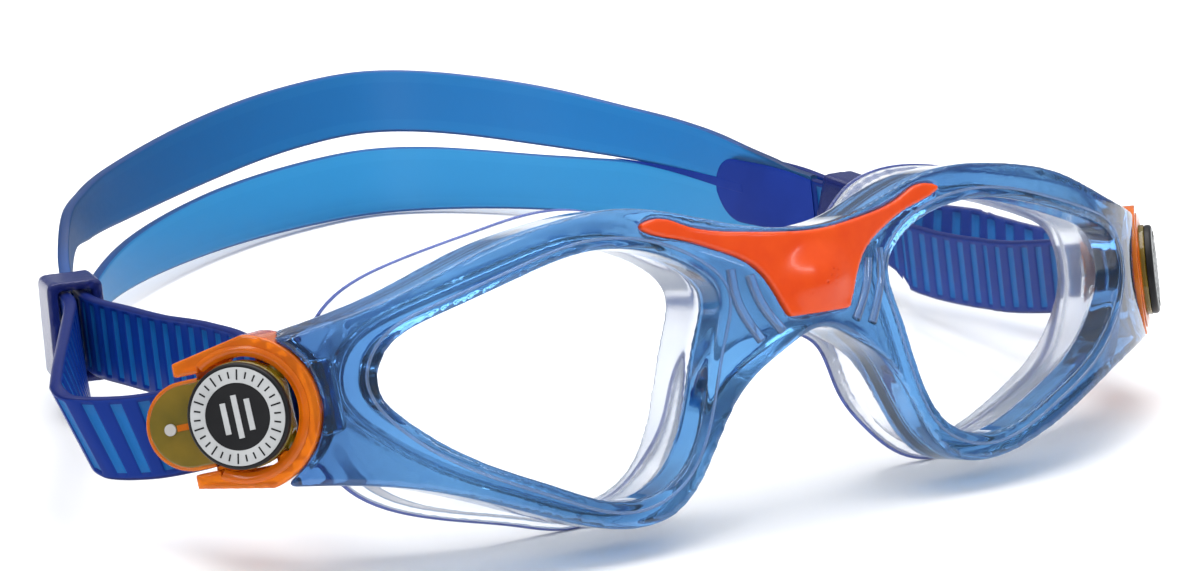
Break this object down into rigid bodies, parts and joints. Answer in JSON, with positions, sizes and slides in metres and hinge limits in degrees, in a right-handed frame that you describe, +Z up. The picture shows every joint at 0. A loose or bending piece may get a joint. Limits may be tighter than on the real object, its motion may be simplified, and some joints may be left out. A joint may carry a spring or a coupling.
{
  "type": "swim goggles",
  "caption": "Wrap-round swim goggles with soft face seal, clear lenses, hinged strap buckles and a split rear strap, laid at rest.",
  "frame": {"origin": "centre of the overall box, on the flat surface that the goggles lie on", "axes": "+X to the wearer's left, +Y from the face towards the back of the strap, +Z up from the surface; the face plane leans back by 16.5 degrees"},
  "size_m": [0.1948, 0.1796, 0.0467],
  "materials": {
    "frame_blue": "clear blue polycarbonate, high gloss, thicker stretches read darker",
    "skirt_clear": "nearly clear silicone with a faint lavender tint, satin gloss",
    "lens_clear": "clear polycarbonate lens, mirror smooth",
    "insert_orange": "opaque orange, glossy",
    "buckle_orange": "translucent orange, glossy",
    "lever_olive": "translucent olive amber, glossy",
    "badge_black": "black, satin gloss",
    "badge_silver": "bright silver foil",
    "dot_grey": "pale grey",
    "strap_blue": "translucent azure silicone, satin",
    "strap_ribbed": "deep blue translucent silicone with cross ribs",
    "keeper_navy": "navy translucent silicone, satin"
  },
  "bodies": {
    "goggles": {"frame": "frame_blue", "skirt": "skirt_clear", "lens_left": "lens_clear", "lens_right": "lens_clear", "bridge_insert": "insert_orange", "strap_band_upper": "strap_blue", "strap_band_lower": "strap_blue", "buckle_body_left": "buckle_orange", "strap_bar_left": "buckle_orange", "strap_end_left": "strap_ribbed", "strap_yoke_left": "strap_ribbed", "buckle_body_right": "buckle_orange", "strap_bar_right": "buckle_orange", "strap_end_right": "strap_ribbed", "strap_yoke_right": "strap_ribbed"},
    "lever_left": {"buckle_lever_left": "lever_olive", "badge_base_left": "badge_black", "badge_inlay_left": "badge_silver", "lever_dot_left": "dot_grey"},
    "keeper_left": {"strap_keeper_left": "keeper_navy"},
    "lever_right": {"buckle_lever_right": "lever_olive", "badge_base_right": "badge_black", "badge_inlay_right": "badge_silver", "lever_dot_right": "dot_grey"},
    "keeper_right": {"strap_keeper_right": "keeper_navy"}
  },
  "joints": [
    {"name": "lever_left_hinge", "type": "hinge", "parent": "goggles", "child": "lever_left", "pos_m": [0.07562, -0.06928, 0.02288], "axis": [-0.0739, -0.3535, -0.9325], "range_deg": [0, 18], "stiffness_Nm_per_rad": 0.02, "springref_deg": -11.46},
    {"name": "keeper_left_slide", "type": "slide", "parent": "goggles", "child": "keeper_left", "axis": [-0.2273, 0.9714, 0.0688], "range_m": [-0.002, 0.002]},
    {"name": "lever_right_hinge", "type": "hinge", "parent": "goggles", "child": "lever_right", "pos_m": [-0.07563, -0.06928, 0.02288], "axis": [-0.0739, 0.3535, 0.9325], "range_deg": [0, 18], "stiffness_Nm_per_rad": 0.02, "springref_deg": -11.46},
    {"name": "keeper_right_slide", "type": "slide", "parent": "goggles", "child": "keeper_right", "axis": [0.2389, 0.9633, -0.1224], "range_m": [-0.002, 0.002]}
  ]
}
